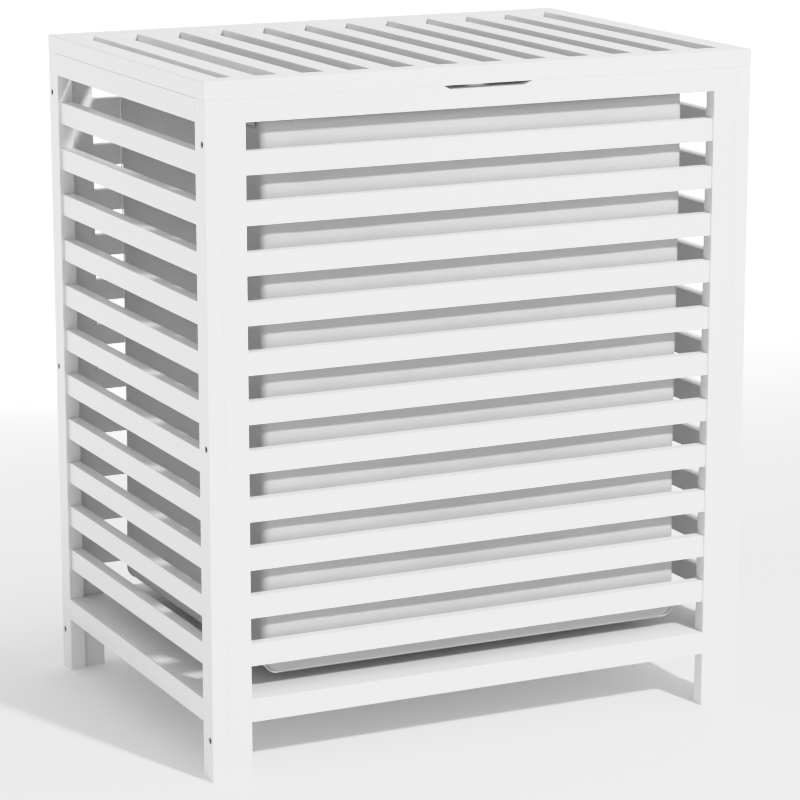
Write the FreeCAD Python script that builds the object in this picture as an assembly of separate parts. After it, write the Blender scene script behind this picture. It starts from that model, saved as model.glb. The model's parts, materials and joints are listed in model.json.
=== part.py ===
import FreeCAD, Part
import math
import os

# Laundry hamper: a slatted wooden cabinet on eight short legs, a slatted lid on two butt hinges,
# and a sewn fabric liner that hangs inside on two steel rods.
# Row frame, millimetres: +Z up, the front faces -Y, origin on the floor under the middle.

V = FreeCAD.Vector
os.makedirs("parts", exist_ok=True)

# ---- driving dimensions ----------------------------------------------------------------------
WIDTH, DEPTH, HEIGHT = 579.0, 415.0, 670.0      # the wooden box
STOCK = 16.0                                    # thickness of stiles and rails
SIDE_STILE = 24.0                               # width of a side panel's stile, along Y
FACE_STILE = 24.5                               # width of a front or back stile, along X
EDGE = 0.8                                      # rounding of every sawn edge
FIT = 0.1                                       # clearance all round a tenon, slat end or screw

LID_THICK, LID_GAP = 17.0, 0.3                  # lid, and the hair line it leaves above the frame
TOP_RAIL, BOTTOM_RAIL = 22.0, 22.5              # rail heights
BOTTOM_RAIL_Z = 55.7                            # underside of the bottom rails
TENON_T, TENON_L, TENON_SHOULDER = 6.0, 8.0, 5.0

SLATS, SLAT_PITCH, SLAT_Z = 11, 47.1, 110.2     # slats of each wall: count, pitch, lowest edge
SLAT_H, SLAT_T, SLAT_BACK = 22.0, 12.5, 3.0     # height, thickness, set back from the face
SLAT_IN = 6.0                                   # how far a slat end is let into the stile

NOTCH_TOP, NOTCH_BOTTOM, NOTCH_DEEP = 98.8, 79.5, 4.0   # finger notch under the lid

LID_FRONT, LID_BACK, LID_LEFT, LID_RIGHT = 22.0, 34.0, 22.5, 25.0   # lid rail widths
LID_SLATS, LID_SLAT_W, LID_PITCH = 11, 23.5, 46.95
LID_SLAT_T, LID_FIRST_GAP = 12.0, 14.5          # slat thickness, the narrow first slot
LID_EDGE = 1.5                                  # softer rounding of the lid's top edges
LID_TENON_Z, LID_TENON_T, LID_TENON_SHOULDER = 6.0, 6.0, 4.0   # tenons of the lid's bars

BOARD_T, BOARD_IN = 4.8, 9.0                    # base board, and its rebate in the bottom rails
BOARD_FIT = 0.3                                 # play where the board is notched round the stiles
BOARD_SUNK = 6.0                                # depth of the screw holes' mouths below the rails

HINGE_X, HINGE_LONG, LEAF_W, LEAF_T = 190.0, 50.0, 13.0, 1.2
BARREL_R, PIN_R, KNUCKLES = 2.8, 1.5, 5
PIN_SHORT, PIN_FIT, BARREL_FIT, LEAF_FIT = 0.2, 0.05, 0.3, 0.12
LEAF_SCREWS, LEAF_SCREW_IN = (-17.0, 0.0, 17.0), 8.2    # along the leaf, and in from its edge

BAG_W, BAG_FRONT_GAP, BAG_BACK_GAP = 452.0, 5.5, 14.5   # bag width and gaps to the panels
BAG_T, BAG_TOP, BAG_FLOOR = 1.5, 633.0, 92.0    # cloth, rim height, outside of the bag's floor
BAG_TURN = 16.0                                 # rounding where a side wall turns into the floor
ROD_R, ROD_Z, SLEEVE_T = 4.0, 638.0, 1.2        # liner rods, in sleeves along the bag's sides
SLEEVE_FIT, SLEEVE_GAP, WALL_GAP = 0.1, 0.2, 0.15   # on the rod, to the end panels, to the walls
ROD_END = 1.2                                   # play between a rod's end and the frame

HOLDER_W, HOLDER_T, HOLDER_LONG = 28.0, 1.6, 5.0    # rod holder: plate, and depth of its cradle
CRADLE_WALL, CRADLE_FIT, CRADLE_BACK = 2.0, 0.15, 0.8
HOLDER_TOP = 1.2                                # gap from the plate to the top of the frame
HOLDER_SCREW_X, HOLDER_SCREW_Z = 10.0, 5.5      # screws each side of the rod, and above it

SCREW_Z = (41.0, 326.0, 612.0)                  # frame screws, heights
SCREW_IN, SCREW_SUNK = 7.5, 1.2                 # distance from the front or back, depth of the head

# ---- derived positions -----------------------------------------------------------------------
X1 = WIDTH / 2
Y0 = -(DEPTH + BARREL_R) / 2                    # front face; the hinge barrels stand out behind
Y1 = Y0 + DEPTH                                 # back face of the wood
LID_Z = HEIGHT - LID_THICK                      # underside of the lid
FRAME_Z = LID_Z - LID_GAP                       # top of the cabinet
AXIS_Z = LID_Z - LID_GAP / 2                    # hinge axis, on the back face
FACE_X = X1 - STOCK                             # where front and back stiles begin
OPEN_X = FACE_X - FACE_STILE                    # half the opening between front stiles
BOARD_Z = BOTTOM_RAIL_Z + BOTTOM_RAIL - BOARD_T # the board lies flush with the bottom rails' tops
BAG_Y0, BAG_Y1 = Y0 + STOCK + BAG_FRONT_GAP, Y1 - STOCK - BAG_BACK_GAP
ROD_X = BAG_W / 2 - BAG_T / 2
SLAT_LEVELS = [SLAT_Z + SLAT_PITCH * k for k in range(SLATS)]

parts = {}


def box(xa, xb, ya, yb, za, zb):
    (xa, xb), (ya, yb), (za, zb) = sorted((xa, xb)), sorted((ya, yb)), sorted((za, zb))
    return Part.makeBox(xb - xa, yb - ya, zb - za, V(xa, ya, za))


def grown(b, by=FIT):
    bb = b.BoundBox
    return box(bb.XMin - by, bb.XMax + by, bb.YMin - by, bb.YMax + by, bb.ZMin - by, bb.ZMax + by)


def along(edge, axis):
    a, b = edge.Vertexes[0].Point, edge.Vertexes[-1].Point
    return abs((b - a).normalize().dot(axis)) > 0.999


def bar(b, axis, radius=EDGE):
    """A sawn bar: the box with its four long edges eased."""
    return b.makeFillet(radius, [e for e in b.Edges if along(e, axis)])


def fuse(shapes):
    out = shapes[0]
    for s in shapes[1:]:
        out = out.fuse(s)
    return out.removeSplitter()


def cut(shape, tools):
    return shape.cut(Part.makeCompound(tools)) if tools else shape


def cylinder(radius, start, end):
    return Part.makeCylinder(radius, (end - start).Length, start, end - start)


HEAD_SHARE, SOCKET_SHARE, TIP_R = 0.8, 0.6, 0.4     # head height, socket depth, blunt tip


def wood_screw(head, direction, length, head_r, shank_r, socket=0.0):
    """Round flat head, parallel shank and a cone point; head is the middle of its top face."""
    head_t = head_r * HEAD_SHARE
    point = shank_r * 2
    shape = fuse([cylinder(head_r, head, head + direction * head_t),
                  cylinder(shank_r, head, head + direction * (length - point)),
                  Part.makeCone(shank_r, TIP_R, point, head + direction * (length - point), direction)])
    if socket:
        side = V(0, 0, 1) if abs(direction.z) < 0.5 else V(1, 0, 0)
        other = direction.cross(side)
        ring = [head + (side * math.cos(a) + other * math.sin(a)) * socket
                for a in [math.pi / 3 * k for k in range(7)]]
        hexagon = Part.Face(Part.makePolygon(ring))
        shape = shape.cut(hexagon.extrude(direction * head_t * SOCKET_SHARE))
    return shape


def screw_hole(head, direction, length, head_r, shank_r, mouth=0.0):
    """Room for such a screw, opened out towards the surface by mouth."""
    top = head - direction * mouth
    return fuse([cylinder(head_r + FIT, top, head + direction * (head_r * HEAD_SHARE + FIT)),
                 cylinder(shank_r + FIT, head, head + direction * (length + FIT))])


def save(name, shapes):
    shapes = shapes if isinstance(shapes, list) else [shapes]
    parts[name] = shapes[0] if len(shapes) == 1 else Part.makeCompound(shapes)


# ---- frame screws: through the side stiles into the edges of the front and back stiles --------
FRAME_SCREW = dict(length=30.0, head_r=3.2, shank_r=1.8)
frame_screws, frame_holes = [], []
for sx in (-1, 1):
    for y in (Y0 + SCREW_IN, Y1 - SCREW_IN):
        for z in SCREW_Z:
            head, inward = V(sx * (X1 - SCREW_SUNK), y, z), V(-sx, 0, 0)
            frame_screws.append(wood_screw(head, inward, socket=1.8, **FRAME_SCREW))
            frame_holes.append(screw_hole(head, inward, mouth=SCREW_SUNK + FIT, **FRAME_SCREW))

# ---- base board: lies in rebates of the bottom rails, flush with their tops, notched round the
# stiles, and held by screws driven up through the rails
reach = STOCK - BOARD_IN
board = box(-X1 + reach, X1 - reach, Y0 + reach, Y1 - reach, BOARD_Z, BOARD_Z + BOARD_T)
rebate = grown(board)
corner_posts = []
for sx in (-1, 1):
    for face, inside in ((Y0, 1), (Y1, -1)):
        corner_posts += [box(sx * X1, sx * FACE_X, face, face + inside * SIDE_STILE, 0, FRAME_Z),
                         box(sx * FACE_X, sx * OPEN_X, face, face + inside * STOCK, 0, FRAME_Z)]
board = cut(board, [grown(p, BOARD_FIT) for p in corner_posts])
BOARD_SCREW = dict(length=15.0, head_r=2.6, shank_r=1.3)
BOARD_SCREW_X, BOARD_SCREW_Y = 180.0, 90.0      # off the middle, and in from the front and back
board_screws, board_holes = [], []
ledge = STOCK - BOARD_IN / 2
board_spots = [(x, y) for x in (-BOARD_SCREW_X, 0, BOARD_SCREW_X) for y in (Y0 + ledge, Y1 - ledge)]
board_spots += [(sx * (X1 - ledge), y) for sx in (-1, 1) for y in (Y0 + BOARD_SCREW_Y, Y1 - BOARD_SCREW_Y)]
for x, y in board_spots:
    head, up = V(x, y, BOTTOM_RAIL_Z + BOARD_SUNK), V(0, 0, 1)
    board_screws.append(wood_screw(head, up, **BOARD_SCREW))
    board_holes.append(screw_hole(head, up, mouth=BOARD_SUNK + FIT, **BOARD_SCREW))

# ---- rod holders: a plate with a half-round cradle, on the front and back top rails ------------
HOLDER_SCREW = dict(length=10.0, head_r=2.2, shank_r=1.1)
holders, holder_screws, holder_holes = [], [], []
for sx in (-1, 1):
    for face, inside in ((Y0 + STOCK, 1), (Y1 - STOCK, -1)):
        x = sx * ROD_X
        outer, slack = ROD_R + CRADLE_WALL, ROD_R + CRADLE_FIT
        plate = box(x - HOLDER_W / 2, x + HOLDER_W / 2, face, face + inside * HOLDER_T,
                    ROD_Z - outer + 0.4, FRAME_Z - HOLDER_TOP)
        here, there = V(x, face, ROD_Z), V(x, face + inside * HOLDER_LONG, ROD_Z)
        cradle = cylinder(outer, here, there)
        cradle = cradle.common(box(x - outer, x + outer, face, there.y, ROD_Z - outer, ROD_Z))
        room = fuse([cylinder(slack, here, there), box(x - slack, x + slack, face, there.y, ROD_Z, HEIGHT)])
        room.translate(V(0, inside * CRADLE_BACK, 0))
        holder = fuse([plate, cradle]).cut(room)
        for dx in (-HOLDER_SCREW_X, HOLDER_SCREW_X):
            head = V(x + dx, face + inside * (HOLDER_T + FIT), ROD_Z + HOLDER_SCREW_Z)
            holder_screws.append(wood_screw(head, V(0, -inside, 0), **HOLDER_SCREW))
            holder_holes.append(screw_hole(head, V(0, -inside, 0), mouth=3 * FIT, **HOLDER_SCREW))
        holders.append(holder)
holders = [cut(h, holder_holes) for h in holders]

# ---- butt hinges: leaves let into the seam, barrel centred on the back edge --------------------
LEAF_SCREW = dict(length=10.0, head_r=2.4, shank_r=1.1)
cabinet_leaves, lid_leaves, pins = [], [], []
cabinet_hinge_screws, lid_hinge_screws, cabinet_sinks, lid_sinks = [], [], [], []
for sx in (-1, 1):
    x0, x1 = sx * HINGE_X - HINGE_LONG / 2, sx * HINGE_X + HINGE_LONG / 2
    knuckle = HINGE_LONG / KNUCKLES
    spans = [(x0 + k * knuckle + FIT, x0 + (k + 1) * knuckle - FIT) for k in range(KNUCKLES)]
    pins.append(cylinder(PIN_R, V(x0 + PIN_SHORT, Y1, AXIS_Z), V(x1 - PIN_SHORT, Y1, AXIS_Z)))
    bore = cylinder(PIN_R + PIN_FIT, V(x0 - 1, Y1, AXIS_Z), V(x1 + 1, Y1, AXIS_Z))
    for first, down, leaves, screws, sinks in ((0, 1, cabinet_leaves, cabinet_hinge_screws, cabinet_sinks),
                                               (1, -1, lid_leaves, lid_hinge_screws, lid_sinks)):
        face = AXIS_Z - down * LID_GAP / 2
        plate = box(x0, x1, Y1 - LEAF_W, Y1, face, face - down * LEAF_T)
        barrels = [cylinder(BARREL_R, V(a, Y1, AXIS_Z), V(b, Y1, AXIS_Z)) for a, b in spans[first::2]]
        rooms = [cylinder(BARREL_R + BARREL_FIT, V(a - 2 * FIT, Y1, AXIS_Z), V(b + 2 * FIT, Y1, AXIS_Z))
                 for a, b in spans[1 - first::2]]
        leaf = fuse([cut(plate, rooms)] + barrels).cut(bore)
        holes = []
        for dx in LEAF_SCREWS:
            head = V(sx * HINGE_X + dx, Y1 - LEAF_SCREW_IN, face - down * FIT)
            screws.append(wood_screw(head, V(0, 0, -down), **LEAF_SCREW))
            holes.append(screw_hole(head, V(0, 0, -down), mouth=2 * FIT, **LEAF_SCREW))
        leaves.append(cut(leaf, holes))
        sinks += holes + [grown(plate, LEAF_FIT)]
        sinks.append(cylinder(BARREL_R + BARREL_FIT, V(x0 - BARREL_FIT, Y1, AXIS_Z),
                              V(x1 + BARREL_FIT, Y1, AXIS_Z)))

# ---- the four walls ---------------------------------------------------------------------------
BOTTOM = (BOTTOM_RAIL_Z, BOTTOM_RAIL_Z + BOTTOM_RAIL)
TOP = (FRAME_Z - TOP_RAIL, FRAME_Z)


def rail(axis, a, b, c, d, z):
    """A rail from a to b along the axis, c to d through the panel, with a tenon at each end."""
    (a, b), (c, d), mid = sorted((a, b)), sorted((c, d)), (c + d) / 2
    za, zb = z[0] + TENON_SHOULDER, z[1] - TENON_SHOULDER

    def place(p, q, r, s, t, u):
        return box(p, q, r, s, t, u) if axis.x else box(r, s, p, q, t, u)

    body = bar(place(a, b, c, d, z[0], z[1]), axis)
    tenons = [place(end, end + reach, mid - TENON_T / 2, mid + TENON_T / 2, za, zb)
              for end, reach in ((a, -TENON_L), (b, TENON_L))]
    return fuse([body] + tenons), [grown(t) for t in tenons]


def face_panel(name, face, inside):
    """Front or back: two stiles, two rails and the slats between the side panels."""
    back = face + inside * STOCK
    pockets, slats = [], []
    for label, z in (("top", TOP), ("bottom", BOTTOM)):
        shape, sockets = rail(V(1, 0, 0), -OPEN_X, OPEN_X, face, back, z)
        parts[f"{name}_{label}_rail"] = shape
        pockets += sockets
    ya, yb = face + inside * SLAT_BACK, face + inside * (SLAT_BACK + SLAT_T)
    for z in SLAT_LEVELS:
        slat = box(-OPEN_X - SLAT_IN, OPEN_X + SLAT_IN, ya, yb, z, z + SLAT_H)
        slats.append(bar(slat, V(1, 0, 0)))
        pockets.append(box(-OPEN_X - SLAT_IN - FIT, OPEN_X + SLAT_IN + FIT,
                           ya - inside * FIT, back + inside, z - FIT, z + SLAT_H + FIT))
    for side, sx in (("left", -1), ("right", 1)):
        stile = bar(box(sx * FACE_X, sx * OPEN_X, face, back, 0, FRAME_Z), V(0, 0, 1))
        parts[f"{name}_{side}_stile"] = cut(stile, pockets + frame_holes)
    return slats


def side_panel(name, sx):
    """Left or right: the outer panels, whose stiles show on the front and back as well."""
    outer, inner = sx * X1, sx * FACE_X
    pockets, slats = [], []
    ya, yb = Y0 + SIDE_STILE, Y1 - SIDE_STILE
    for label, z in (("top", TOP), ("bottom", BOTTOM)):
        shape, sockets = rail(V(0, 1, 0), ya, yb, outer, inner, z)
        parts[f"{name}_{label}_rail"] = shape
        pockets += sockets
    xa, xb = outer - sx * SLAT_BACK, outer - sx * (SLAT_BACK + SLAT_T)
    for z in SLAT_LEVELS:
        slats.append(bar(box(xa, xb, ya - SLAT_IN, yb + SLAT_IN, z, z + SLAT_H), V(0, 1, 0)))
        pockets.append(box(xa + sx * FIT, inner - sx, ya - SLAT_IN - FIT, yb + SLAT_IN + FIT,
                           z - FIT, z + SLAT_H + FIT))
    for label, a, b in (("front", Y0, ya), ("rear", yb, Y1)):
        stile = bar(box(outer, inner, a, b, 0, FRAME_Z), V(0, 0, 1))
        parts[f"{name}_{label}_stile"] = cut(stile, pockets + frame_holes)
    save(f"{name}_slats", slats)


for number, slat in enumerate(face_panel("front", Y0, 1), 1):
    parts[f"front_slat_{number:02d}"] = slat
save("back_slats", face_panel("back", Y1, -1))
side_panel("left", -1)
side_panel("right", 1)

notch_corners = ((-NOTCH_TOP / 2, FRAME_Z + 1), (NOTCH_TOP / 2, FRAME_Z + 1),
                 (NOTCH_BOTTOM / 2, FRAME_Z - NOTCH_DEEP), (-NOTCH_BOTTOM / 2, FRAME_Z - NOTCH_DEEP),
                 (-NOTCH_TOP / 2, FRAME_Z + 1))
notch = Part.Face(Part.makePolygon([V(x, Y0 - 1, z) for x, z in notch_corners])).extrude(V(0, STOCK + 2, 0))
parts["front_top_rail"] = cut(parts["front_top_rail"], [notch] + holder_holes)
parts["back_top_rail"] = cut(parts["back_top_rail"], cabinet_sinks + holder_holes)
for name in ("front", "back", "left", "right"):
    parts[f"{name}_bottom_rail"] = cut(parts[f"{name}_bottom_rail"], [rebate] + board_holes)

# ---- lid --------------------------------------------------------------------------------------
def softened(b, soft):
    """A lid rail: soft top edges on the outside of the lid, eased edges elsewhere."""
    top = b.BoundBox.ZMax
    keep = [e for e in b.Edges if soft(e) and min(v.Z for v in e.Vertexes) > top - 0.01]
    return b.makeFillet(LID_EDGE, keep)


slot_y0, slot_y1 = Y0 + LID_FRONT, Y1 - LID_BACK
lid_front = softened(box(-X1, X1, Y0, slot_y0, LID_Z, HEIGHT),
                     lambda e: max(v.Y for v in e.Vertexes) < Y0 + 0.01 or not along(e, V(1, 0, 0)))
lid_back = softened(box(-X1, X1, slot_y1, Y1, LID_Z, HEIGHT),
                    lambda e: min(v.Y for v in e.Vertexes) > Y1 - 0.01 or not along(e, V(1, 0, 0)))
lid_bars, lid_pockets = {}, []
lid_tenon = (LID_Z + LID_TENON_Z, LID_Z + LID_TENON_Z + LID_TENON_T)


def lid_bar(name, xa, xb, z, outer=None):
    shape = box(xa, xb, slot_y0, slot_y1, z, HEIGHT)
    if outer is None:
        shape = bar(shape, V(0, 1, 0))
    else:
        shape = softened(shape, lambda e: all(abs(v.X - outer) < 0.01 for v in e.Vertexes))
    tenons = [box(xa + LID_TENON_SHOULDER, xb - LID_TENON_SHOULDER, y, y + dy, *lid_tenon)
              for y, dy in ((slot_y0, -SLAT_IN), (slot_y1, SLAT_IN))]
    lid_pockets.extend(grown(t) for t in tenons)
    parts[name] = fuse([shape] + tenons)


lid_bar("lid_left_rail", -X1, -X1 + LID_LEFT, LID_Z, outer=-X1)
lid_bar("lid_right_rail", X1 - LID_RIGHT, X1, LID_Z, outer=X1)
first = -X1 + LID_LEFT + LID_FIRST_GAP
for k in range(LID_SLATS):
    x = first + LID_PITCH * k
    lid_bar(f"lid_slat_{k + 1:02d}", x, x + LID_SLAT_W, HEIGHT - LID_SLAT_T)
parts["lid_front_rail"] = cut(lid_front, lid_pockets)
parts["lid_back_rail"] = cut(lid_back, lid_pockets + lid_sinks)

# ---- liner: a strip of cloth makes the sides and the floor, two end panels close it in front and
# at the back, and each side hangs from a sleeve on its rod
def inside_of(path, thickness):
    """The same open path in the XZ plane, moved to its left by thickness."""
    steps = [(b - a).normalize() for a, b in zip(path, path[1:])]
    normals = [V(-step.z, 0, step.x) for step in steps]
    moved = []
    for i, here in enumerate(path):
        meeting = normals[max(i - 1, 0):i + 1]
        middle = sum(meeting, V()).normalize()
        moved.append(here + middle * (thickness / middle.dot(meeting[0])))
    return moved


def slab(corners, length):
    """A convex flat piece: corners in an XZ plane, carried along Y."""
    return Part.Face(Part.makePolygon(corners + corners[:1])).extrude(V(0, length, 0))


wall_top = ROD_Z - ROD_R - SLEEVE_T - WALL_GAP
turn = [(BAG_W / 2 - BAG_TURN * (1 - math.cos(a)), BAG_FLOOR + BAG_TURN * (1 - math.sin(a)))
        for a in (0, math.pi / 4, math.pi / 2)]
strip = [V(-BAG_W / 2, BAG_Y0 + BAG_T, wall_top)] + [V(-x, BAG_Y0 + BAG_T, z) for x, z in turn]
strip += [V(-p.x, p.y, p.z) for p in reversed(strip)]
lining = inside_of(strip, BAG_T)
cloths = [slab([strip[i], strip[i + 1], lining[i + 1], lining[i]], BAG_Y1 - BAG_Y0 - 2 * BAG_T)
          for i in range(len(strip) - 1)]
for y in (BAG_Y0, BAG_Y1 - BAG_T):
    cloths.append(slab([V(p.x, y, BAG_TOP if p.z == wall_top else p.z) for p in strip], BAG_T))
for sx in (-1, 1):
    a, b = BAG_Y0 + BAG_T + SLEEVE_GAP, BAG_Y1 - BAG_T - SLEEVE_GAP
    sleeve = cylinder(ROD_R + SLEEVE_T, V(sx * ROD_X, a, ROD_Z), V(sx * ROD_X, b, ROD_Z))
    cloths.append(sleeve.cut(cylinder(ROD_R + SLEEVE_FIT, V(sx * ROD_X, a, ROD_Z), V(sx * ROD_X, b, ROD_Z))))
save("liner_bag", cloths)
for side, sx in (("left", -1), ("right", 1)):
    parts[f"liner_rod_{side}"] = cylinder(ROD_R, V(sx * ROD_X, Y0 + STOCK + ROD_END, ROD_Z),
                                          V(sx * ROD_X, Y1 - STOCK - ROD_END, ROD_Z))

# ---- hardware and board -----------------------------------------------------------------------
parts["base_panel"] = cut(board, board_holes)
save("base_panel_screws", board_screws)
save("frame_screws", frame_screws)
save("rod_holders", holders)
save("rod_holder_screws", holder_screws)
for k, side in enumerate(("left", "right")):
    parts[f"hinge_{side}_cabinet_leaf"] = cabinet_leaves[k]
    parts[f"hinge_{side}_lid_leaf"] = lid_leaves[k]
save("hinge_pins", pins)
save("cabinet_hinge_screws", cabinet_hinge_screws)
save("lid_hinge_screws", lid_hinge_screws)

for name, shape in parts.items():
    shape.exportStep(f"parts/{name}.step")
    sound = shape.Solids and all(solid.isValid() for solid in shape.Solids)
    print(name, len(shape.Solids), "solids", round(shape.Volume / 1000, 2), "cm3", "" if sound else "BAD")
print(len(parts), "parts")
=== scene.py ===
import json
import math

import bmesh
import bpy
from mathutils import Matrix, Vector, noise


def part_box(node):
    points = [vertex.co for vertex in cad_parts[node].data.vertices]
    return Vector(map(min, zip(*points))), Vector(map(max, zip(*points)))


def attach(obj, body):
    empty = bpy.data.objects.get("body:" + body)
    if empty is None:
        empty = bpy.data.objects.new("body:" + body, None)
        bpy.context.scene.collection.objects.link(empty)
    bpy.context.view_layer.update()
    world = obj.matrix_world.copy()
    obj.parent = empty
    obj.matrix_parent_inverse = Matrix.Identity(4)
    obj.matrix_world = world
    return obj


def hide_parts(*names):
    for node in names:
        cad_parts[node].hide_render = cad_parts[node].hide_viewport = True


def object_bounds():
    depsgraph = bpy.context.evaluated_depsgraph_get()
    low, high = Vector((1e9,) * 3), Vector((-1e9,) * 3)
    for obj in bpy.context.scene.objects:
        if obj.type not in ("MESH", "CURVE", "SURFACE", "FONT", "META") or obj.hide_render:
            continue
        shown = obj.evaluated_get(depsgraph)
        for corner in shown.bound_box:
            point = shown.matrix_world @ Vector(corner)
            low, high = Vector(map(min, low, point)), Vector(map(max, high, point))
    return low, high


# Looks of the slatted laundry hamper: satin white paint on every wooden bar, zinc hinges, black
# screws, and a sewn fabric liner that hangs from two rods. Metres, in the CAD frame.

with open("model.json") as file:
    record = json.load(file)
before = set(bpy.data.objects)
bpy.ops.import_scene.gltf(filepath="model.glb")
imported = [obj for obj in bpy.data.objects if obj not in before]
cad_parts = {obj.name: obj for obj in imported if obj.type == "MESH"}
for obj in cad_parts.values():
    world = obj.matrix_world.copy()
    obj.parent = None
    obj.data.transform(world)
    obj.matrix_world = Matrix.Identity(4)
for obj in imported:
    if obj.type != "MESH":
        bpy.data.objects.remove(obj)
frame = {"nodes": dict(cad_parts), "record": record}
nodes = frame["nodes"]
cad_box = [list(corner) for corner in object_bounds()]
scene = bpy.context.scene

MM = 0.001


# ---- small helpers ----------------------------------------------------------------------------
def ease(t):
    t = min(1.0, max(0.0, t))
    return t * t * (3 - 2 * t)


def new_piece(name, mesh_bm, material, body):
    """Turns a bmesh into a named piece with one material that rides on a CAD body."""
    mesh = bpy.data.meshes.new(name)
    mesh_bm.to_mesh(mesh)
    mesh_bm.free()
    for polygon in mesh.polygons:
        polygon.use_smooth = True
    mesh.materials.append(material)
    piece = bpy.data.objects.new(name, mesh)
    scene.collection.objects.link(piece)
    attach(piece, body)
    return piece


class Shader:
    """A material's node tree, with short calls that add one node each."""

    def __init__(self, name):
        self.material = bpy.data.materials.new(name)
        self.material.use_nodes = True
        self.tree = self.material.node_tree
        self.bsdf = self.tree.nodes["Principled BSDF"]

    def node(self, kind, inputs=None, **settings):
        made = self.tree.nodes.new("ShaderNode" + kind)
        for key, value in settings.items():
            setattr(made, key, value)
        for key, value in (inputs or {}).items():
            self.put(made.inputs[key], value)
        return made

    def put(self, socket, value):
        if isinstance(value, bpy.types.NodeSocket):
            self.tree.links.new(value, socket)
        else:
            socket.default_value = value

    def coords(self, output, scale=(1, 1, 1)):
        source = self.node("TexCoord").outputs[output]
        return self.node("Mapping", {"Vector": source, "Scale": scale}).outputs["Vector"]

    def noise(self, vector, scale, detail=4.0, roughness=0.55):
        made = self.node("TexNoise", {"Vector": vector, "Scale": scale, "Detail": detail,
                                      "Roughness": roughness})
        return made.outputs["Fac"]

    def math(self, operation, a, b=0.0, c=0.0):
        return self.node("Math", {0: a, 1: b, 2: c}, operation=operation).outputs[0]

    def spread(self, value, from_low, from_high, to_low, to_high):
        return self.node("MapRange", {"Value": value, "From Min": from_low, "From Max": from_high,
                                      "To Min": to_low, "To Max": to_high}).outputs[0]

    def blend(self, factor, a, b):
        made = self.node("Mix", data_type="RGBA")
        self.put(made.inputs[0], factor)
        self.put(made.inputs[6], a)
        self.put(made.inputs[7], b)
        return made.outputs[2]

    def finish(self, color, rough, height, bump, distance, **fixed):
        self.put(self.bsdf.inputs["Base Color"], color)
        self.put(self.bsdf.inputs["Roughness"], rough)
        normal = self.node("Bump", {"Height": height, "Strength": bump, "Distance": distance})
        self.put(self.bsdf.inputs["Normal"], normal.outputs[0])
        for key, value in fixed.items():
            self.bsdf.inputs[key.replace("_", " ")].default_value = value
        return self.material


def grey(value, warm=0.0):
    """A grey, warmed by taking from its blue a little more than it adds to its red."""
    return (value * (1 + warm), value, value * (1 - 1.6 * warm), 1.0)


# ---- materials --------------------------------------------------------------------------------
def painted_wood(name, axis, light=0.74):
    """Satin white paint over smooth sawn wood: faint raised grain along the bar, brush drag,
    a little more gloss where the paint rounds an edge, and barely uneven whiteness."""
    s = Shader(name)
    along = [150.0, 150.0, 150.0]
    along[axis] = 5.0
    grain = s.noise(s.coords("Object", along), 1.0, 5.0, 0.6)
    drag = [900.0, 900.0, 900.0]
    drag[axis] = 30.0
    brush = s.noise(s.coords("Object", drag), 1.0, 2.0, 0.5)
    cloud = s.noise(s.coords("Object"), 7.0, 3.0, 0.5)
    peel = s.noise(s.coords("Object"), 1400.0, 1.0, 0.5)
    facing = s.node("VectorMath", {0: s.coords("Normal")}, operation="ABSOLUTE").outputs[0]
    split = s.node("SeparateXYZ", {0: facing}).outputs
    flat = s.math("MAXIMUM", s.math("MAXIMUM", split[0], split[1]), split[2])
    edge = s.spread(flat, 0.80, 0.985, 1.0, 0.0)
    tone = s.math("MULTIPLY_ADD", grain, 0.5, s.math("MULTIPLY", cloud, 0.5))
    color = s.blend(s.spread(tone, 0.35, 0.65, 0.0, 1.0),
                    grey(light - 0.022, 0.003), grey(light + 0.012))
    color = s.blend(s.math("MULTIPLY", edge, 0.35), color, grey(light - 0.04, 0.006))
    satin = s.spread(s.math("ADD", brush, cloud), 0.7, 1.3, 0.36, 0.47)
    rough = s.math("MULTIPLY_ADD", edge, -0.08, satin)
    height = s.math("ADD", s.math("MULTIPLY", grain, 0.55),
                    s.math("ADD", s.math("MULTIPLY", brush, 0.22), s.math("MULTIPLY", peel, 0.12)))
    return s.finish(color, rough, height, 0.22, 0.0004, Coat_Weight=0.12, Coat_Roughness=0.25)


def painted_board():
    """The base board: rolled matt paint, with the fine stipple a roller leaves."""
    s = Shader("white_board")
    stipple = s.noise(s.coords("Object"), 900.0, 3.0, 0.6)
    cloud = s.noise(s.coords("Object"), 5.0, 3.0, 0.5)
    color = s.blend(cloud, grey(0.71), grey(0.74))
    return s.finish(color, s.spread(stipple, 0.3, 0.7, 0.5, 0.62), stipple, 0.2, 0.0003)


def metal(name, base, rough, metallic, streak_axis=0):
    s = Shader(name)
    scale = [1500.0, 1500.0, 1500.0]
    scale[streak_axis] = 60.0
    streak = s.noise(s.coords("Object", scale), 1.0, 3.0, 0.6)
    cloud = s.noise(s.coords("Object"), 160.0, 3.0, 0.5)
    color = s.blend(cloud, grey(base * 0.86, 0.01), grey(base * 1.06))
    return s.finish(color, s.spread(streak, 0.3, 0.7, rough - 0.08, rough + 0.1), streak,
                    0.12, 0.0001, Metallic=metallic)


def moulded_plastic():
    s = Shader("white_plastic")
    spark = s.noise(s.coords("Object"), 2200.0, 2.0, 0.5)
    cloud = s.noise(s.coords("Object"), 90.0, 2.0, 0.5)
    color = s.blend(cloud, grey(0.80, 0.004), grey(0.85))
    return s.finish(color, s.spread(cloud, 0.3, 0.7, 0.4, 0.5), spark, 0.15, 0.00015)


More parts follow.
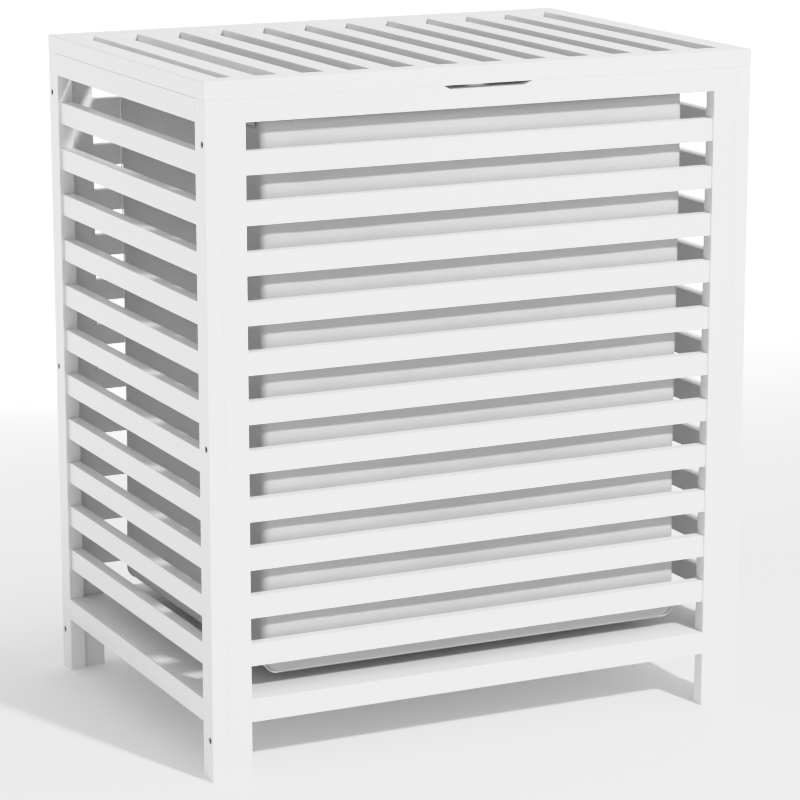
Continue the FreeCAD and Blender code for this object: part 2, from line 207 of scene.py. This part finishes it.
def woven_cloth(name, light, pitch=0.9 * MM):
    """Plain weave: warp and weft threads over and under each other, slubs, and painted shade in the
    hollows between the threads.
    """
    s = Shader(name)
    uv = s.coords("UV", (1 / pitch, 1 / pitch, 1.0))
    wobble = s.noise(s.coords("UV", (40.0, 40.0, 1.0)), 1.0, 2.0, 0.5)
    u, v = s.node("SeparateXYZ", {0: uv}).outputs[:2]
    u = s.math("MULTIPLY_ADD", wobble, 1.2, u)
    v = s.math("MULTIPLY_ADD", wobble, 1.2, v)
    wave_u = s.math("SINE", s.math("MULTIPLY", u, math.pi))
    wave_v = s.math("SINE", s.math("MULTIPLY", v, math.pi))
    warp, weft = s.math("ABSOLUTE", wave_u), s.math("ABSOLUTE", wave_v)
    picks = s.spread(s.math("MULTIPLY", wave_u, wave_v), -0.25, 0.25, 0.0, 1.0)
    thread = s.math("ADD", s.math("MULTIPLY", warp, picks),
                    s.math("MULTIPLY", weft, s.math("SUBTRACT", 1.0, picks)))
    slub_u = s.noise(s.coords("UV", (900.0, 18.0, 1.0)), 1.0, 2.0, 0.6)
    slub_v = s.noise(s.coords("UV", (18.0, 900.0, 1.0)), 1.0, 2.0, 0.6)
    slub = s.math("MULTIPLY", s.math("ADD", slub_u, slub_v), 0.5)
    cloud = s.noise(s.coords("Object"), 12.0, 4.0, 0.55)
    tone = s.math("ADD", s.math("MULTIPLY", slub, 0.6), s.math("MULTIPLY", cloud, 0.4))
    color = s.blend(s.spread(tone, 0.35, 0.65, 0.0, 1.0),
                    grey(light * 0.94, 0.002), grey(light * 1.04))
    # Painted shade: the hollows between the threads are blended toward a deeper grey.
    color = s.blend(s.spread(thread, 0.0, 0.5, 0.22, 0.0), color, grey(light * 0.72))
    height = s.math("ADD", thread, s.math("MULTIPLY", slub, 0.8))
    return s.finish(color, s.spread(slub, 0.3, 0.7, 0.82, 0.95), height, 0.55, 0.00025,
                    Sheen_Weight=0.12, Sheen_Roughness=0.5)


def piping_cloth():
    """Bias tape round a cord. Where it runs upright it is painted much paler than the bag: a
    painted highlight for the light the upright seam catches.
    """
    s = Shader("liner_piping")
    weave = s.noise(s.coords("Object"), 1300.0, 2.0, 0.6)
    cloud = s.noise(s.coords("Object"), 30.0, 2.0, 0.5)
    height = s.node("SeparateXYZ", {0: s.coords("Object")}).outputs[2]
    color = s.blend(s.spread(cloud, 0.35, 0.65, 0.0, 1.0), grey(0.48), grey(0.54))
    # Painted highlight: above the bottom run the piping turns much paler, standing in for light
    # caught on the upright seam.
    color = s.blend(s.spread(height, 0.11, 0.14, 0.0, 1.0), color, grey(0.86))
    return s.finish(color, s.spread(weave, 0.3, 0.7, 0.75, 0.9), weave, 0.35, 0.0002)


def thread_material():
    s = Shader("liner_thread")
    twist = s.noise(s.coords("Object"), 3000.0, 2.0, 0.5)
    color = s.blend(twist, grey(0.56), grey(0.66))
    return s.finish(color, s.spread(twist, 0.3, 0.7, 0.6, 0.8), twist, 0.4, 0.0002)


WOOD = [painted_wood("white_wood_" + "xyz"[axis], axis) for axis in range(3)]
LOOKS = {
    "white_board": painted_board(),
    "dark_screw": metal("dark_screw", 0.035, 0.45, 0.6),
    "bright_steel": metal("bright_steel", 0.62, 0.32, 1.0),
    "white_metal": metal("white_metal", 0.80, 0.40, 0.0, streak_axis=1),
    "white_plastic": moulded_plastic(),
}
CLOTH = woven_cloth("liner_cloth", 0.445)
PIPING = piping_cloth()
THREAD = thread_material()


def dress_cad():
    """Every CAD node keeps its shape; all but the fabric nodes get the procedural finish of their
    record slot.
    """
    slot_of = {row["node"]: row["material_slot"] for row in frame["record"]["subparts"]}
    for name, node in nodes.items():
        slot = slot_of[name]
        if slot == "grey_fabric":
            continue
        if slot == "white_wood":
            low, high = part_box(name)
            size = list(high - low)
            axis = size.index(max(size))
            if name in ("left_slats", "right_slats"):
                axis = 1
            look = WOOD[axis]
        else:
            look = LOOKS[slot]
        for place in node.material_slots:
            place.material = look


# ---- the liner --------------------------------------------------------------------------------
bag_low, bag_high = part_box("liner_bag")
rod_low, rod_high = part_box("liner_rod_right")
ROD = Vector(((rod_low.x + rod_high.x) / 2, 0, (rod_low.z + rod_high.z) / 2))
ROD_R = (rod_high.z - rod_low.z) / 2
CLOTH_T, SHEET_T = 1.0 * MM, 0.8 * MM            # the bag's double cloth, a single sheet
HALF_X = ROD.x                                   # the side walls hang straight under the rods
FRONT_Y, BACK_Y = bag_low.y + CLOTH_T / 2, bag_high.y - CLOTH_T / 2
MID_Y, HALF_Y = (FRONT_Y + BACK_Y) / 2, (BACK_Y - FRONT_Y) / 2
FLOOR_Z = bag_low.z + 2.5 * MM                   # where the end panels meet the floor
FLOOR_SAG = 4.5 * MM
SIDE_TURN, END_TURN = 17 * MM, 2.5 * MM          # side walls turn softly, end panels crisply
CORNER_R = 7 * MM                                # upright corners
RIM_Z, RIM_SAG = ROD.z - ROD_R - 1.6 * MM, 2.5 * MM
SLEEVE_DROP = 17 * MM                            # from the rod down to the sleeve's seam
SLEEVE_FOOT = ROD.z - SLEEVE_DROP                # there the sleeve is sewn to the side wall
HEM = 18 * MM
BULGE, BULGE_TOP = 2.6 * MM, 160 * MM            # the bag is this much wider near its floor
BELLY = 2.2 * MM                                 # how far the middle of a wall hangs in
FOLD, FOLD_RATE, FOLD_SLANT = 1.0 * MM, 95, 3.2  # depth, radians a metre, radians down the wall
FOLD_REACH, CORNER_CALM = 0.45, 25 * MM          # folds keep to this share of a half wall
RIPPLE, CREASE, FLOOR_RIPPLE = 1.7 * MM, 0.45 * MM, 1.2 * MM
PIPING_R = 0.8 * MM
SEAM_TURN = math.radians(25)                     # of the upright seams round the corner


def outline(half_x, half_y, radius, straight=52, depth=40, arc=8):
    """A rounded rectangle about the bag's middle, anticlockwise from the front right corner:
    points with their outward normals."""
    corners = ((1, -1, -90), (1, 1, 0), (-1, 1, 90), (-1, -1, 180))
    points = []
    for number, (sx, sy, start) in enumerate(corners):
        middle = (sx * (half_x - radius), sy * (half_y - radius))
        for k in range(arc + 1):
            a = math.radians(start + 90 * k / arc)
            points.append((middle[0] + radius * math.cos(a), middle[1] + radius * math.sin(a),
                           math.cos(a), math.sin(a)))
        count = depth if number in (0, 2) else straight
        nx, ny, turned = corners[(number + 1) % 4]
        a = math.radians(turned)
        end_x = nx * (half_x - radius) + radius * math.cos(a)
        end_y = ny * (half_y - radius) + radius * math.sin(a)
        x0, y0, ux, uy = points[-1]
        points += [(x0 + (end_x - x0) * k / count, y0 + (end_y - y0) * k / count, ux, uy)
                   for k in range(1, count)]
    return points


def drape(x, y, z, nx, ny):
    """How far the cloth stands off its flat wall: a faint hollow in the middle, shallow folds that
    run down from the ends of the rods, and uneven ripples. Nothing at the rim and at the floor."""
    down = (RIM_Z - z) / (RIM_Z - FLOOR_Z)
    facing_end = abs(ny) > abs(nx)
    along, half = (x, HALF_X) if facing_end else (y, HALF_Y)
    inset = half - abs(along)
    near_corner = (1 - ease(inset / (FOLD_REACH * half))) * ease(inset / CORNER_CALM)
    bow = math.sin(math.pi * min(1.0, max(0.0, down)))
    belly = -BELLY * max(0.0, 1 - (along / half) ** 2) * bow
    phase = 0 if facing_end else 2
    fold = FOLD * near_corner * math.sin(abs(along) * FOLD_RATE + FOLD_SLANT * down + phase)
    ripple = RIPPLE * noise.noise(Vector((x * 5.5, y * 5.5, z * 2.6)))
    crease = CREASE * noise.noise(Vector((x * 26, y * 26 + 7, z * 11)))
    held = ease(down / 0.10) * ease((1 - down) / 0.06)
    return belly + (fold * (1 - 0.6 * down) + ripple + crease) * held


def half_width(z):
    """Half the bag's width at a height: a little wider low down, rounded into the floor."""
    wide = HALF_X + BULGE * (1 - ease((z - FLOOR_Z) / BULGE_TOP))
    lift = min(1.0, (z - FLOOR_Z) / SIDE_TURN)
    return wide - SIDE_TURN * (1 - math.sqrt(max(0.0, 1 - (1 - lift) ** 2)))


def half_depth(z):
    lift = min(1.0, (z - FLOOR_Z) / END_TURN)
    return HALF_Y - END_TURN * (1 - math.sqrt(max(0.0, 1 - (1 - lift) ** 2)))


def rim_height(x, y):
    """The rim dips in the middle of the end panels and drops to the sleeves along the sides."""
    rim = RIM_Z - RIM_SAG * max(0.0, 1 - (x / HALF_X) ** 2)
    side = ease((abs(x) - (HALF_X - 12 * MM)) / (11 * MM))
    inward = 1 - ease((abs(y) - (HALF_Y - 10 * MM)) / (8 * MM))
    return rim + (SLEEVE_FOOT + 3 * MM - rim) * side * inward


def wall_point(x, y, nx, ny, z, off=0.0):
    out = drape(x, y, z, nx, ny) + off
    return Vector((x + nx * out, y + ny * out + MID_Y, z))


def build_bag():
    """One continuous shell: rim, walls, rounded bottom edges and a sagging floor."""
    bm = bmesh.new()
    uv_layer = bm.loops.layers.uv.new("UVMap")
    rows, turns, floor_rows = 50, 12, 24
    knee = FLOOR_Z + SIDE_TURN
    layers, places = [], []
    for k in range(rows + turns + 1):
        layer, place, travel, previous = [], [], 0.0, None
        level = knee
        if k > rows:
            level = FLOOR_Z + SIDE_TURN * (1 - math.sin((k - rows) / turns * math.pi / 2))
        for x, y, nx, ny in outline(half_width(level), half_depth(level), CORNER_R):
            z = level
            if k < rows:
                top = rim_height(x, y)
                z = top + (knee - top) * k / rows
                x *= half_width(z) / half_width(knee)
            layer.append(bm.verts.new(wall_point(x, y, nx, ny, z)))
            travel += math.hypot(x - previous[0], y - previous[1]) if previous else 0.0
            previous = (x, y)
            place.append((travel, -z))
        layers.append(layer)
        places.append(place)
    half_x, half_y = half_width(FLOOR_Z), half_depth(FLOOR_Z)
    for k in range(1, floor_rows + 1):
        inner = 1 - k / (floor_rows + 0.5)
        layer, place = [], []
        for x, y, _, _ in outline(half_x * inner, half_y * inner, CORNER_R * inner):
            sag = FLOOR_SAG * (1 - max(abs(x) / half_x, abs(y) / half_y) ** 3)
            uneven = FLOOR_RIPPLE * noise.noise(Vector((x * 9, y * 9, 3))) * min(1.0, k / 6)
            layer.append(bm.verts.new((x, y + MID_Y, FLOOR_Z - sag + uneven)))
            place.append((x, y))
        layers.append(layer)
        places.append(place)
    count = len(layers[0])
    for r in range(len(layers) - 1):
        for i in range(count):
            j = (i + 1) % count
            face = bm.faces.new((layers[r][i], layers[r + 1][i], layers[r + 1][j], layers[r][j]))
            spots = [places[r][i], places[r + 1][i], places[r + 1][j], places[r][j]]
            if r >= rows + turns:
                spots[0], spots[3] = [(v.co.x, v.co.y - MID_Y)
                                      for v in (layers[r][i], layers[r][j])]
            elif j == 0:
                step = (layers[r][i].co - layers[r][j].co).length
                spots[2] = (spots[1][0] + step, spots[2][1])
                spots[3] = (spots[0][0] + step, spots[3][1])
            for loop, spot in zip(face.loops, spots):
                loop[uv_layer].uv = spot
    bm.faces.new(layers[-1])
    bmesh.ops.recalc_face_normals(bm, faces=bm.faces)
    bag = new_piece("liner_bag_cloth", bm, CLOTH, "liner")
    thicken(bag, CLOTH_T)
    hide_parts("liner_bag")


def thicken(piece, thickness):
    solidify = piece.modifiers.new("thickness", "SOLIDIFY")
    solidify.thickness = thickness
    solidify.offset = 0.0


def sheet(bm, rows):
    """Joins rows of points into a cloth grid whose UVs are lengths along it."""
    uv_layer = bm.loops.layers.uv.verify()
    grid = [[bm.verts.new(p) for p in row] for row in rows]
    across = [0.0]
    for row, following in zip(rows, rows[1:]):
        across.append(across[-1] + (following[0] - row[0]).length)
    along = [0.0]
    for p, q in zip(rows[0], rows[0][1:]):
        along.append(along[-1] + (q - p).length)
    for r in range(len(grid) - 1):
        for i in range(len(grid[0]) - 1):
            face = bm.faces.new((grid[r][i], grid[r + 1][i], grid[r + 1][i + 1], grid[r][i + 1]))
            for loop, (u, v) in zip(face.loops, ((i, r), (i, r + 1), (i + 1, r + 1), (i + 1, r))):
                loop[uv_layer].uv = (along[u], across[v])


def end_panel(sign, x, z, off):
    """A point on the front (-1) or back (+1) panel, off the cloth by off."""
    return wall_point(x, sign * HALF_Y, 0.0, sign, z, off)


def build_hems():
    """The end panels' rims are folded to the inside and sewn down."""
    bm = bmesh.new()
    reach, steps = HALF_X - CORNER_R, 60
    # Off the wall and below the rim, in mm: from the outside over the rim and down the inside.
    fold = ((0.9, 3.0), (0.9, 0.6), (0.5, -0.4), (-0.3, -0.8), (-1.0, -0.3), (-1.1, 1.0),
            (-1.05, 9.0), (-1.05, HEM / MM - 1.5), (-0.95, HEM / MM))
    for sign in (-1, 1):
        xs = [-reach + 2 * reach * i / steps for i in range(steps + 1)]
        sheet(bm, [[end_panel(sign, x, rim_height(x, sign * HALF_Y) - down * MM, out * MM)
                    for x in xs] for out, down in fold])
    thicken(new_piece("liner_hems", bm, CLOTH, "liner"), SHEET_T)


def sleeve_section():
    """Teardrop round the rod: an arc over the top and two straight flanks down to the seam."""
    radius, drop, foot_gap = ROD_R + 0.7 * MM, ROD.z - SLEEVE_FOOT, 1.0 * MM
    tangent = math.acos(radius / drop)
    arc = [math.pi - tangent - 2 * (math.pi - tangent) * k / 20 for k in range(21)]
    points = [(radius * math.sin(a), radius * math.cos(a)) for a in arc]
    first, last = points[0], points[-1]
    flank = [k / 6 for k in range(6)]
    left = [(foot_gap + (first[0] - foot_gap) * t, -drop + (first[1] + drop) * t) for t in flank]
    right = [(-foot_gap + (last[0] + foot_gap) * t, -drop + (last[1] + drop) * t)
             for t in reversed(flank)]
    return left + points + right


def build_sleeves():
    bm = bmesh.new()
    reach, steps = HALF_Y - 9 * MM, 70
    for side in (-1, 1):
        rows = []
        for dx, dz in sleeve_section():
            row = []
            for k in range(steps + 1):
                y = -reach + 2 * reach * k / steps
                loose = 1 + 0.10 * noise.noise(Vector((dx * 160, y * 22, dz * 60 + side)))
                gather = drape(side * HALF_X, y, ROD.z + dz, side, 0.0) * ease(-dz / SLEEVE_DROP)
                row.append(Vector((side * (HALF_X + gather) + dx * loose, y + MID_Y,
                                   ROD.z + (dz * loose if dz > 0 else dz))))
            rows.append(row)
        sheet(bm, rows)
    thicken(new_piece("liner_sleeves", bm, CLOTH, "liner"), SHEET_T)


OFF_AXIS = Vector((0.31, 0.87, 0.38))            # no cord here runs this way


def tube(bm, path, radius, sides=8):
    """A closed-ended round cord along a path."""
    rings = []
    for i, here in enumerate(path):
        ahead = (path[min(i + 1, len(path) - 1)] - path[max(i - 1, 0)]).normalized()
        across = ahead.cross(OFF_AXIS).normalized()
        other = ahead.cross(across)
        rings.append([bm.verts.new(here + (across * math.cos(a) + other * math.sin(a)) * radius)
                      for a in (2 * math.pi * k / sides for k in range(sides))])
    for one, two in zip(rings, rings[1:]):
        for k in range(sides):
            bm.faces.new((one[k], two[k], two[(k + 1) % sides], one[(k + 1) % sides]))
    bm.faces.new(rings[0])
    bm.faces.new(list(reversed(rings[-1])))


def seam_path(sign):
    """The piped seam of an end panel. At the back it comes down one upright corner, runs under and
    goes up the other; at the front the upright corners are plain and only the bottom is piped."""
    lean_x, lean_y = math.cos(SEAM_TURN), math.sin(SEAM_TURN)
    upright = [SLEEVE_FOOT - 2 * MM - k * 9 * MM for k in range(200)] if sign > 0 else []
    levels = [z for z in upright if z > FLOOR_Z + SIDE_TURN]
    levels += [FLOOR_Z + SIDE_TURN * (1 - math.sin(k / 8 * math.pi / 2)) for k in range(9)]
    side = []
    for z in levels:
        x = half_width(z) - CORNER_R + CORNER_R * lean_x
        y = half_depth(z) - CORNER_R + CORNER_R * lean_y
        out = drape(x, sign * y, z, lean_x, sign * lean_y) + CLOTH_T / 2 + PIPING_R / 2
        low = 1 - ease((z - FLOOR_Z) / SIDE_TURN)
        y += (half_depth(z) - y) * low
        side.append((x + out * lean_x, sign * (y + out * lean_y), z - 0.4 * MM * low))
    x, y, z = side[-1]
    steps = 40
    bottom = [(x * (1 - 2 * k / steps), y, z) for k in range(1, steps)]
    points = side + bottom + [(-px, py, pz) for px, py, pz in reversed(side)]
    return [Vector((px, py + MID_Y, pz)) for px, py, pz in points]


def build_piping():
    bm = bmesh.new()
    for sign in (-1, 1):
        tube(bm, seam_path(sign), PIPING_R)
    bmesh.ops.recalc_face_normals(bm, faces=bm.faces)
    new_piece("liner_piping", bm, PIPING, "liner")


def build_stitches():
    """Lock stitches along the hems and along the foot of each sleeve, inside and outside."""
    bm = bmesh.new()
    length, pitch, thread_r = 2.6 * MM, 3.8 * MM, 0.28 * MM
    rise = ((0, -0.25), (0.2, 0.2), (0.8, 0.2), (1, -0.25))     # share of length, mm off the cloth
    outside, inside = 0.55 * MM, -1.5 * MM                      # the bag's face and the hem's
    flank = 2.05 * MM                                           # the sleeve's face above its foot

    def run(place, start, end):
        for k in range(int((end - start) / pitch)):
            a = start + (k + 0.2) * pitch
            path = [place(a + length * t, lift * MM) for t, lift in rise]
            tube(bm, path, thread_r, 5)

    for sign in (-1, 1):
        for off in (outside, inside):
            run(lambda x, lift: end_panel(sign, x, rim_height(x, sign * HALF_Y) - HEM + 3 * MM,
                                          off + math.copysign(lift, off)),
                -HALF_X + CORNER_R + 2 * MM, HALF_X - CORNER_R - 2 * MM)
    for side in (-1, 1):
        for face in (-1, 1):
            def foot(y, lift):
                z = SLEEVE_FOOT + 2.5 * MM
                stand = drape(side * HALF_X, y, z, side, 0.0) * ease((ROD.z - z) / SLEEVE_DROP)
                return Vector((side * (HALF_X + stand) + face * (flank + lift), y + MID_Y, z))
            run(foot, -HALF_Y + 10 * MM, HALF_Y - 10 * MM)
    bmesh.ops.recalc_face_normals(bm, faces=bm.faces)
    new_piece("liner_stitches", bm, THREAD, "liner")


dress_cad()
build_bag()
build_hems()
build_sleeves()
build_piping()
build_stitches()


# ---- floor, light and camera ------------------------------------------------------------------
FLOOR_REACH = 14.0
GLOW_FROM, GLOW_TO = 0.25, 1.8                   # behind the hamper the floor turns into a backdrop
GLOW_NEAR, GLOW_FAR = 0.08, 1.6
WORLD = 0.84
KEY = Vector((0.25, -1.0, 0.70))                 # towards the lamp
KEY_AWAY, KEY_SIZE, KEY_WATTS = 4.5, 0.28, 188
MIDDLE = Vector((0, 0, cad_box[1][2] / 2))


def pale_floor():
    bm = bmesh.new()
    bmesh.ops.create_grid(bm, x_segments=24, y_segments=24, size=FLOOR_REACH)
    mesh = bpy.data.meshes.new("studio_floor")
    bm.to_mesh(mesh)
    bm.free()
    s = Shader("studio_floor")
    cloud = s.noise(s.coords("Object"), 0.8, 2.0, 0.5)
    paint = s.blend(cloud, grey(0.80), grey(0.82))
    s.finish(paint, s.spread(cloud, 0.3, 0.7, 0.7, 0.8), cloud, 0.02, 0.001)
    s.bsdf.inputs["Emission Color"].default_value = (1, 1, 1, 1)
    behind = s.node("SeparateXYZ", {0: s.coords("Object")}).outputs[1]
    glow = s.spread(behind, GLOW_FROM, GLOW_TO, GLOW_NEAR, GLOW_FAR)
    s.put(s.bsdf.inputs["Emission Strength"], glow)
    mesh.materials.append(s.material)
    floor = bpy.data.objects.new("studio_floor", mesh)
    scene.collection.objects.link(floor)


def area_lamp(name, direction, distance, size, power):
    """An area light that looks at the middle of the hamper from a direction."""
    light = bpy.data.lights.new(name, "AREA")
    light.shape = "RECTANGLE"
    light.size = light.size_y = size
    light.energy = power
    lamp = bpy.data.objects.new(name, light)
    scene.collection.objects.link(lamp)
    aim = direction.normalized()
    lamp.location = MIDDLE + aim * distance
    lamp.rotation_euler = (-aim).to_track_quat("-Z", "Y").to_euler()


world = bpy.data.worlds.new("studio")
scene.world = world
world.use_nodes = True
world.node_tree.nodes["Background"].inputs["Color"].default_value = (1, 1, 1, 1)
world.node_tree.nodes["Background"].inputs["Strength"].default_value = WORLD

pale_floor()
area_lamp("key", KEY, KEY_AWAY, KEY_SIZE, KEY_WATTS)

SENSOR, LENS = 36.0, 145.4                       # mm
CAMERA_AT = (-1.3955, -2.9072, 1.0504)
CAMERA_DIP, CAMERA_TURN = 0.2280, 0.4498         # radians below level, and to the right of +Y

camera_data = bpy.data.cameras.new("camera")
camera = bpy.data.objects.new("camera", camera_data)
scene.collection.objects.link(camera)
camera_data.sensor_width = SENSOR
camera_data.lens = LENS
camera.location = CAMERA_AT
camera.rotation_euler = (math.pi / 2 - CAMERA_DIP, 0.0, -CAMERA_TURN)
scene.camera = camera

# A film-like shoulder: straight at first, then whites are held back so that they keep their form.
# Light in and light out, the first as a share of the brightest value mapped.
BRIGHTEST = 2.0
TONES = ((0.10, 0.2), (0.20, 0.4), (0.30, 0.59), (0.39, 0.745), (0.485, 0.812), (0.60, 0.842),
         (0.74, 0.868), (0.9, 0.94))
scene.view_settings.view_transform = "Standard"
scene.view_settings.use_curve_mapping = True
mapping = scene.view_settings.curve_mapping
mapping.use_clip = False
mapping.white_level = (BRIGHTEST, BRIGHTEST, BRIGHTEST)
tone = mapping.curves[3]
tone.points[0].location = (0.0, 0.0)
tone.points[1].location = (1.0, 1.0)
for light_in, light_out in TONES:
    tone.points.new(light_in, light_out)
mapping.update()
